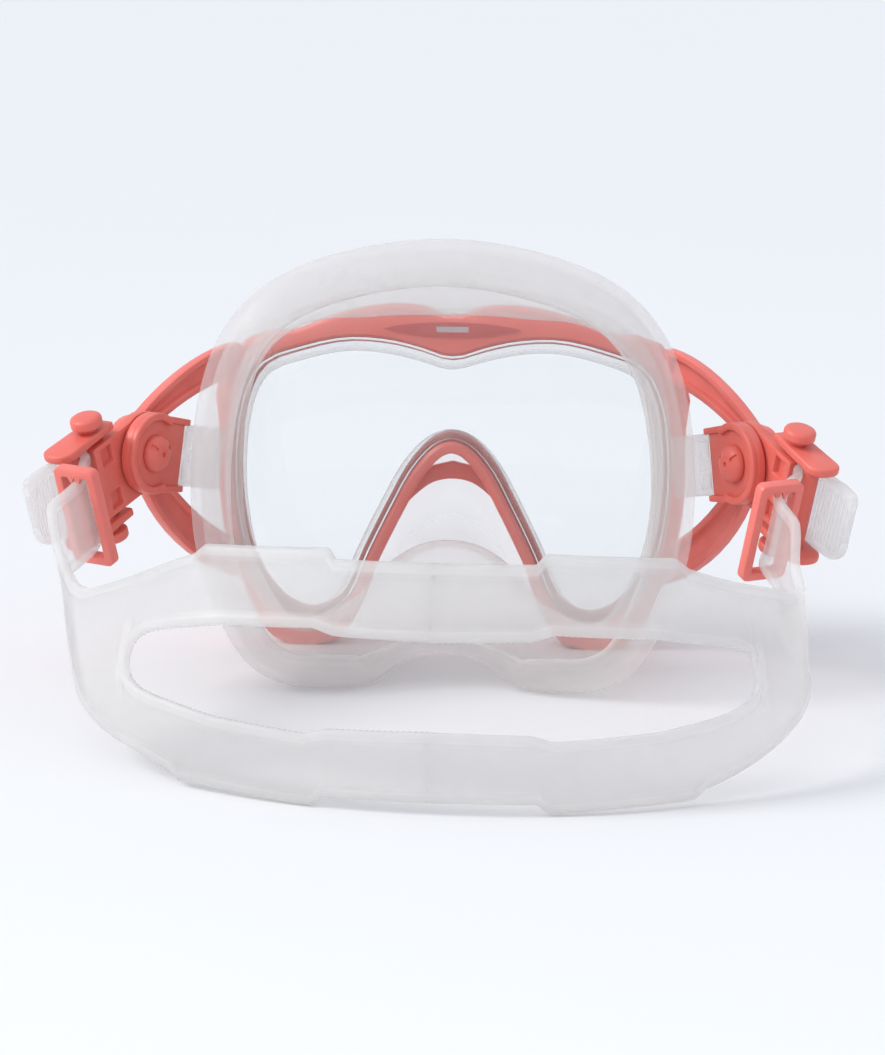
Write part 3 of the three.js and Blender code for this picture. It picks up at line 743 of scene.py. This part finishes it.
def pinPiece(side, label):
    seat = -layers["plateHalf"] - layers["fit"]
    outer = layers["wingOut"] + layers["fit"]
    rise = [radians(a) for a in (0, 20, 40, 58, 72)]
    dome = [(pin["head"] * cos(a), seat - 0.5 - pin["dome"] * sin(a)) for a in rise]
    profile = [(0, seat - 1.9), (0.5, seat - 1.95), (0.7, seat - 2.6)] + dome[::-1]
    profile += [(pin["head"], seat), (pin["shank"], seat), (pin["shank"], outer), (3.4, outer),
                (3.6, outer + 0.3), (3.5, outer + 0.9), (2.8, outer + 1.3), (0, outer + 1.4)]
    bm = turned(profile)
    head = [f for f in bm.faces if f.normal.y < -0.2]
    notched = []
    for angle in pin["notchAngles"]:
        aim = Vector((cos(radians(angle)), 0, sin(radians(angle)))) * pin["notchPlace"]
        notched += [f for f in head
                    if (f.calc_center_median() * Vector((1, 0, 1)) - aim).length < pin["notch"]]
    bmesh.ops.inset_region(bm, faces=notched, thickness=0.12, depth=-0.5)
    stands = [f"{label}_pivot_pin"]
    place = sideMatrix(side, False)
    return finishPiece(f"{label}Pin", bm, buckleCoral, "mask", stands, place)


for side, label in ((1, "right"), (-1, "left")):
    wingPiece(side, label)
    platePiece(side, label)
    pinPiece(side, label)
print("arms, plates and pins made")


# buckle base with its two windows
base = {
    "round": 10.0,
    "end": 17.7,
    "half": 9.4,
    "windows": (11.2, 15.4),      # along the buckle
    "windowRows": (3.5, 8.1),     # above and below its middle
    "depth": 1.5,
}


def basePiece(side, label):
    shape = [(base["end"], -base["half"]), (base["end"], base["half"])]
    shape += arc(0, 0, base["round"], 72, 288, 26)
    bm = prism(shape, layers["baseIn"], layers["baseOut"])
    low, high = base["windowRows"]
    for x in base["windows"]:
        cutAcross(bm, (x, 0, 0), (1, 0, 0))
    for z in (-high, -low, low, high):
        cutAcross(bm, (0, 0, z), (0, 0, 1))
    for face in bm.faces[:]:
        middle = face.calc_center_median()
        inWindow = base["windows"][0] < middle.x < base["windows"][1] and low < abs(middle.z) < high
        if face.normal.y < -0.9 and inWindow:
            bmesh.ops.inset_region(bm, faces=[face], thickness=0.25, depth=-base["depth"])
    soften(bm, 0.25)
    body, stands = f"{label}_buckle", [f"{label}_buckle_base"]
    place = sideMatrix(side, True)
    return finishPiece(f"{label}Base", bm, buckleCoral, body, stands, place)


# strap carrier: two roofs, the web between them and the post for the strap
carrier = {
    "near": 8.6,
    "far": 25.5,
    "nose": 3.2,         # how far the round end reaches past that
    "roofThickness": 2.1,
    "outer": 8.95,
    "web": (10.2, 15.4),
}


def carrierPiece(side, label):
    near, far, outer = carrier["near"], carrier["far"], carrier["outer"]
    end, crest = far + carrier["nose"], outer + 0.6
    tip = bezier((far, 1.2, 0), (far + 2.2, 1.6, 0), (end, 3, 0), (end, 5.4, 0), 5)
    tip += bezier((end, 5.4, 0), (end, 8, 0), (far + 2, crest, 0), (far, crest, 0), 5)[1:]
    shape = [(near, layers["baseIn"])] + tip + [(near, outer)]
    parts = []
    for low in (layers["roof"], -layers["roof"] - carrier["roofThickness"]):
        roof = prism(shape, low, low + carrier["roofThickness"], "xy")
        soften(roof, 0.55, 3)
        parts.append(roof)
    x0, x1 = carrier["web"]
    y0 = layers["baseOut"] + layers["fit"]
    tall = layers["roof"] + 1
    web = prism([(x0, y0), (x1, y0), (x1, outer), (x0, outer)], -tall, tall, "xy")
    soften(web, 0.5)
    section = arc(layers["postX"], layers["postY"], layers["postRadius"], 0, 345, 23)
    post = prism(section, -tall, tall, "xy")
    bm = joined(*parts, web, post)
    body, stands = f"{label}_buckle", [f"{label}_strap_carrier"]
    place = sideMatrix(side, True)
    return finishPiece(f"{label}Carrier", bm, buckleCoral, body, stands, place)


knob = {"x": 14.6, "radius": 3.9, "stem": 2.0, "stemDepth": 2.0, "rise": 2.7, "travel": 1.2, "gap": 0.1}


def knobPiece(side, label, up, level):
    under = layers["roof"] + carrier["roofThickness"] + knob["travel"] + knob["gap"]
    r, top = knob["radius"], under + knob["rise"]
    stemEnd = under - knob["stemDepth"]  # inside the roof
    profile = [(0, stemEnd), (knob["stem"], stemEnd), (knob["stem"], under), (r - 0.3, under),
               (r, under + 0.3), (r, top - 0.9), (r - 0.25, top - 0.45), (r - 0.8, top - 0.12),
               (r - 1.5, top), (0, top + 0.02)]
    bm = turned(profile, 36)
    bmesh.ops.rotate(bm, cent=(0, 0, 0), matrix=Matrix.Rotation(radians(90), 3, "X"), verts=bm.verts)
    if up < 0:
        bmesh.ops.rotate(bm, cent=(0, 0, 0), matrix=Matrix.Rotation(pi, 3, "X"), verts=bm.verts)
    bmesh.ops.translate(bm, vec=(knob["x"], layers["postY"], 0), verts=bm.verts)
    body, stands = f"{label}_{level.lower()}_knob", [f"{label}_{level.lower()}_button"]
    place = sideMatrix(side, True)
    return finishPiece(f"{label}{level}Knob", bm, buckleCoral, body, stands, place)


keeper = {
    "x": 31.4,
    "depth": 3.6,
    "bar": 2.2,
    "round": 1.6,
    "half": 10.5,
    "room": (2.4, 2.8),            # inside the loop, before and behind the strap
    "inset": {1: 11.5, -1: 5.5},   # of the strap's neck toward the head, right and left
    "lean": 0.018,                 # its change along the neck
}
strap = {
    "thickness": 2.2,    # over the rims
    "web": 1.3,          # between them
    "rim": 2.2,
    "neckEnd": 39.6,
    "ribs": {"run": 13.2, "pitch": 1.1, "height": 0.4},    # ratchet teeth across the tail
    "corner": {"lower": 6.5, "upper": 2.0},                # radii of the tail's end
    # half height of the sheet and of its opening, at distances from the strap's middle
    "edge": [(0, 26), (23.6, 26), (25.8, 28.2), (58.6, 26.6), (61.2, 24.4), (84, 17), (98, 11.6),
             (104, 9.8), (400, 9.8)],
    "slot": [(0, 9.6), (22, 10), (27, 11.4), (50, 10), (66, 7.4), (71, 6.2), (74, 4.6), (75.6, 2.6),
             (76, 0), (400, 0)],
}


def roundedBox(y0, y1, z0, z1, radius, steps=4):
    corners = [(y1 - radius, z1 - radius, 0), (y0 + radius, z1 - radius, 90),
               (y0 + radius, z0 + radius, 180), (y1 - radius, z0 + radius, 270)]
    return [p for y, z, start in corners for p in arc(y, z, radius, start, start + 90, steps)]


def strapMiddleY():
    # where the strap passes the post on its way in
    return layers["postY"] - layers["postRadius"] - layers["fit"] - strap["thickness"] / 2


def keeperPiece(side, label):
    middle = strapMiddleY() - keeper["inset"][side]
    y0 = middle - strap["thickness"] / 2 - keeper["room"][0]
    y1 = middle + strap["thickness"] / 2 + keeper["room"][1]
    half, bar = keeper["half"], keeper["bar"]
    x0, x1 = keeper["x"] - keeper["depth"] / 2, keeper["x"] + keeper["depth"] / 2
    outer = roundedBox(y0 - bar, y1 + bar, -half - bar, half + bar, keeper["round"])
    inner = roundedBox(y0, y1, -half, half, 0.4)
    section = [(inner, x0 + 0.3), (outer, x0 + 0.4), (outer, x1 - 0.4), (inner, x1 - 0.3)]
    rings = [[Vector((x, y, z)) for y, z in loop] for loop, x in section]
    loop = lofted(rings)
    soften(loop, 0.35, 2, sharpEdges(loop, 50))
    teeth = []
    for y in (y0 + 2.6, y0 + 4.6):
        point = [(y - 0.9, half + 0.2), (y + 0.9, half + 0.2), (y, half - 1.7)]
        teeth.append(prism(point, x1 - 1.3, x1 - 0.3, "yz"))
    bm = joined(loop, *teeth)
    body, stands = f"{label}_strap_keeper", [f"{label}_keeper"]
    place = sideMatrix(side, True)
    return finishPiece(f"{label}Keeper", bm, coral, body, stands, place)


for side, label in ((1, "right"), (-1, "left")):
    basePiece(side, label)
    carrierPiece(side, label)
    knobPiece(side, label, 1, "Upper")
    knobPiece(side, label, -1, "Lower")
    keeperPiece(side, label)
print("buckles made")


def buckleToMask(x, y, z, side):
    return sideMatrix(side, True) @ Vector((x, y, z))


def neckPoint(side, beyond):
    x = strap["neckEnd"] + beyond
    lean = 1 + (x - keeper["x"]) * keeper["lean"]
    return buckleToMask(x, strapMiddleY() - keeper["inset"][side] * lean, 0, side)


# the middle line of the strap on the table, from the left neck to the right
strapSpine = [
    neckPoint(-1, 0.6), neckPoint(-1, 4), Vector((-82.5, -94.5, 28)), Vector((-75, -108, 25.5)),
    Vector((-58, -124, 27)), Vector((-26, -139.5, 27.8)), Vector((9.3, -144.5, 28.1)),
    Vector((44, -140, 27.8)), Vector((72, -125, 27.4)), Vector((84.5, -107, 30.5)),
    Vector((82, -93, 36.5)), neckPoint(1, 4), neckPoint(1, 0.6),
]


def endPath(side):
    # neck, keeper, round the post and out as the tail, in the mask's axes
    inner = strapMiddleY()
    outer = 2 * layers["postY"] - inner
    inset = keeper["inset"][side]
    radius = outer - layers["postY"]
    wrap = arc(layers["postX"], layers["postY"], radius, -90, -270, 8)
    postX = layers["postX"]
    lean = 1 + (strap["neckEnd"] - keeper["x"]) * keeper["lean"]
    flat = [(strap["neckEnd"], inner - inset * lean), (keeper["x"], inner - inset),
            (postX + 3.4, inner - inset * 0.45), *wrap,
            (postX + 4, outer), (postX + 9, outer + 0.8), (postX + 14, outer + 0.2)]
    curve = curveThrough([Vector((x, y, 0)) for x, y in flat], False)
    return [buckleToMask(*curve(i / 160)[0], side) for i in range(161)]


def strapLine(side):
    # points along one half from the middle, each with its distance from there; the length up
    # to the swivelling end, and the direction in which the half leaves the middle
    spine = curveThrough(strapSpine, False)
    whole = [spine(i / 600)[0] for i in range(601)]
    lengths = [0]
    for a, b in zip(whole, whole[1:]):
        lengths.append(lengths[-1] + (b - a).length)
    middle = next(i for i, at in enumerate(lengths) if at >= lengths[-1] * 0.503)
    away = (whole[middle + 1] - whole[middle - 1]).normalized() * side
    loop = whole[middle:] if side > 0 else whole[middle::-1]
    spineEnd = sum((b - a).length for a, b in zip(loop, loop[1:]))
    line = loop + endPath(side)
    for _ in range(12):
        eased = [(a + b * 2 + c) / 4 for a, b, c in zip(line, line[1:], line[2:])]
        line = [line[0], *eased, line[-1]]
    at = [0]
    for a, b in zip(line, line[1:]):
        at.append(at[-1] + (b - a).length)
    return line, at, spineEnd, away


def strapSheet(side, label):
    line, at, spineEnd, away = strapLine(side)
    length = at[-1]
    restUp = (buckleToMask(0, 0, 1, side) - buckleToMask(0, 0, 0, side)).normalized()
    turns = [place for place, _ in strap["edge"] + strap["slot"] if place < length]
    steady = [length * i / 130 for i in range(131)]
    ribbed = [length - strap["ribs"]["run"] + strap["ribs"]["pitch"] * i / 4 for i in range(48)]
    steady += [place for place in ribbed if place < length - 0.4]
    columns = sorted(set(steady + turns))
    columns = [c for i, c in enumerate(columns) if i == 0 or c - columns[i - 1] > 0.12]
    columns[-1] = length

    def pointAt(distance):
        if distance == 0:
            return line[0], away
        low = max(i for i, place in enumerate(at) if place <= min(distance, length - 1e-6))
        share = (distance - at[low]) / (at[low + 1] - at[low])
        return line[low].lerp(line[low + 1], share), (line[low + 1] - line[low]).normalized()

    def rows(distance):
        edge, slot = between(strap["edge"], distance), between(strap["slot"], distance)
        rim = min(strap["rim"], (edge - slot) * 0.24)
        return [slot, slot + rim * 0.45, slot + rim, slot + rim * 1.25, (edge + slot) / 2,
                edge - rim * 1.25, edge - rim, edge - rim * 0.45, edge]

    thick, thin = strap["thickness"] / 2, strap["web"] / 2
    rowCount = 18        # nine rows each side of the slot
    bm = bmesh.new()
    column = bm.verts.layers.int.new("column")
    row = bm.verts.layers.int.new("row")
    rimMark = bm.verts.layers.float.new("rim")
    bmesh.ops.create_grid(bm, x_segments=len(columns) - 1, y_segments=rowCount - 1, size=1)
    low, high = min(v.co.x for v in bm.verts), max(v.co.x for v in bm.verts)
    for v in bm.verts:
        v[column] = round((v.co.x - low) / (high - low) * (len(columns) - 1))
        v[row] = round((v.co.y - low) / (high - low) * (rowCount - 1))
    middle = [f for f in bm.faces if {v[row] for v in f.verts} == {8, 9}]
    bmesh.ops.delete(bm, geom=middle, context="FACES_ONLY")
    heights = [rows(c) for c in columns]
    for v in bm.verts:
        rank = v[row] - 9 if v[row] > 8 else 8 - v[row]
        height = heights[v[column]][rank]
        v.co = (columns[v[column]], height if v[row] > 8 else -height, 0)
    bmesh.ops.remove_doubles(bm, verts=bm.verts, dist=0.001)
    bmesh.ops.recalc_face_normals(bm, faces=bm.faces)
    bmesh.ops.solidify(bm, geom=bm.faces[:], thickness=1)
    crease = bm.edges.layers.float.new("crease_edge")
    for face in bm.faces:
        if all(v.co.x < 0.01 for v in face.verts):
            face.material_index = 1
            for e in face.edges:
                e[crease] = 1
                e.smooth = False
    for v in bm.verts:
        distance, height, layer = v.co.x, v.co.y, 1 if abs(v.co.z) < 0.5 else -1
        rank = v[row] - 9 if v[row] > 8 else 8 - v[row]
        slotRim = rank <= 2 and distance < 78.5
        slotEnd = 76 <= distance < 78.4 and rank <= 3
        isRim = rank >= 6 or slotRim or slotEnd
        point, going = pointAt(distance)
        endward = ease(distance, 88, spineEnd - 1)
        inward = Vector((0, 0, 1)).cross(going).normalized() * side
        leaning = (Vector((0, 0, 1)) + inward * 0.2 * (1 - endward)).normalized()
        up = leaning.lerp(restUp, endward).normalized()
        crown = 0.006 * height * height * (1 - endward)
        normal = going.cross(up).normalized()
        half = thick if isRim else thin
        fromEnd = length - distance
        onRib = fromEnd < strap["ribs"]["run"] and fromEnd / strap["ribs"]["pitch"] % 1 < 0.5
        if onRib and not isRim:
            half += strap["ribs"]["height"]
        corner = strap["corner"]["lower" if height < 0 else "upper"]
        if fromEnd < corner:
            height *= 1 - (corner - sqrt(corner**2 - (corner - fromEnd)**2)) / strap["edge"][-1][1]
        v[rimMark] = 1.0 if isRim else (0.5 if onRib else 0.0)
        v.co = point + up * height + inward * crown + normal * half * layer
    bmesh.ops.recalc_face_normals(bm, faces=bm.faces)
    stands = ["strap_band", f"{label}_strap_end"]
    piece = finishPiece(f"{label}Strap", bm, strapSilicone, None, stands, smooth=1)
    piece.data.materials.append(seamSilicone)
    start, end = pointAt(spineEnd - 14)[0], pointAt(spineEnd - 2)[0]
    shift = Vector((0, lensBack, 0))
    (start + shift) * mm
    (end + shift) * mm
    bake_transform(piece)
    return piece


strapSheet(1, "right")
strapSheet(-1, "left")
print("strap made")


studio = {
    "floor": (0.80, 0.80, 0.80, 1),
    "sky": (0.715, 0.755, 0.825, 1),
    "sun": {"strength": 1.72, "softness": 24, "height": 40, "from": -76},
    "strip": {"energy": 1.3, "size": 0.6, "place": (-0.25, -0.6, 0.6)},
}


def pointingAt(place, aim):
    return (aim - place).to_track_quat("-Z", "Y")


def floorPiece():
    bm = bmesh.new()
    bmesh.ops.create_circle(bm, cap_ends=True, segments=96, radius=8)
    mesh = bpy.data.meshes.new("floor")
    bm.to_mesh(mesh)
    bm.free()
    finish = Finish("floorPaper")
    grain = finish.noise(0.8, 2)
    tone = finish.noise(160, 2)
    shade = tuple(c * 0.985 for c in studio["floor"][:3]) + (1,)
    finish.set(Base_Color=finish.blend(tone, studio["floor"], shade))
    finish.set(Roughness=0.75 + grain * 0.1, Normal=finish.bump(grain, 0.05, 0.05))
    mesh.materials.append(finish.material)
    floor = bpy.data.objects.new("floor", mesh)
    bpy.context.scene.collection.objects.link(floor)


def lightPieces():
    world = bpy.data.worlds.new("studioSky")
    bpy.context.scene.world = world
    world.use_nodes = True
    world.node_tree.nodes["Background"].inputs["Color"].default_value = studio["sky"]
    sun = bpy.data.lights.new("keySun", "SUN")
    sun.energy = studio["sun"]["strength"]
    sun.angle = radians(studio["sun"]["softness"])
    turn, height = radians(studio["sun"]["from"]), radians(studio["sun"]["height"])
    away = Vector((sin(turn) * cos(height), -cos(turn) * cos(height), sin(height)))
    lamp = bpy.data.objects.new("keySun", sun)
    lamp.rotation_mode = "QUATERNION"
    lamp.rotation_quaternion = pointingAt(away, Vector((0, 0, 0)))
    bpy.context.scene.collection.objects.link(lamp)
    strip = bpy.data.lights.new("strip", "AREA")
    strip.energy = studio["strip"]["energy"]
    strip.size = studio["strip"]["size"]
    lamp = bpy.data.objects.new("strip", strip)
    lamp.location = studio["strip"]["place"]
    lamp.rotation_mode = "QUATERNION"
    lamp.rotation_quaternion = pointingAt(lamp.location, Vector((0, 0, 0.05)))
    bpy.context.scene.collection.objects.link(lamp)


view = {
    "aim": (0, 0.02325, 0.0414),
    "distance": 0.8,
    "height": 12.5,      # degrees
    "round": 2.8,
    "roll": 0.45,
    "tall": 0.256365,    # metres in view at the aim
    "sensor": 36,
}


def cameraPiece():
    aim = Vector(view["aim"])
    turn, height = radians(view["round"]), radians(view["height"])
    back = Vector((sin(turn) * cos(height), -cos(turn) * cos(height), sin(height)))
    data = bpy.data.cameras.new("camera")
    data.sensor_fit = "VERTICAL"
    data.sensor_height = view["sensor"]
    data.lens = view["sensor"] * view["distance"] / view["tall"]
    camera = bpy.data.objects.new("camera", data)
    camera.location = aim + back * view["distance"]
    facing = pointingAt(camera.location, aim).to_matrix().to_4x4()
    roll = Matrix.Rotation(radians(view["roll"]), 4, "Z")
    camera.matrix_world = Matrix.Translation(camera.location) @ facing @ roll
    bpy.context.scene.collection.objects.link(camera)
    bpy.context.scene.camera = camera


floorPiece()
lightPieces()
cameraPiece()
bpy.context.scene.view_settings.view_transform = "Standard"
bpy.context.scene.cycles.transparent_max_bounces = 32
print("studio made")
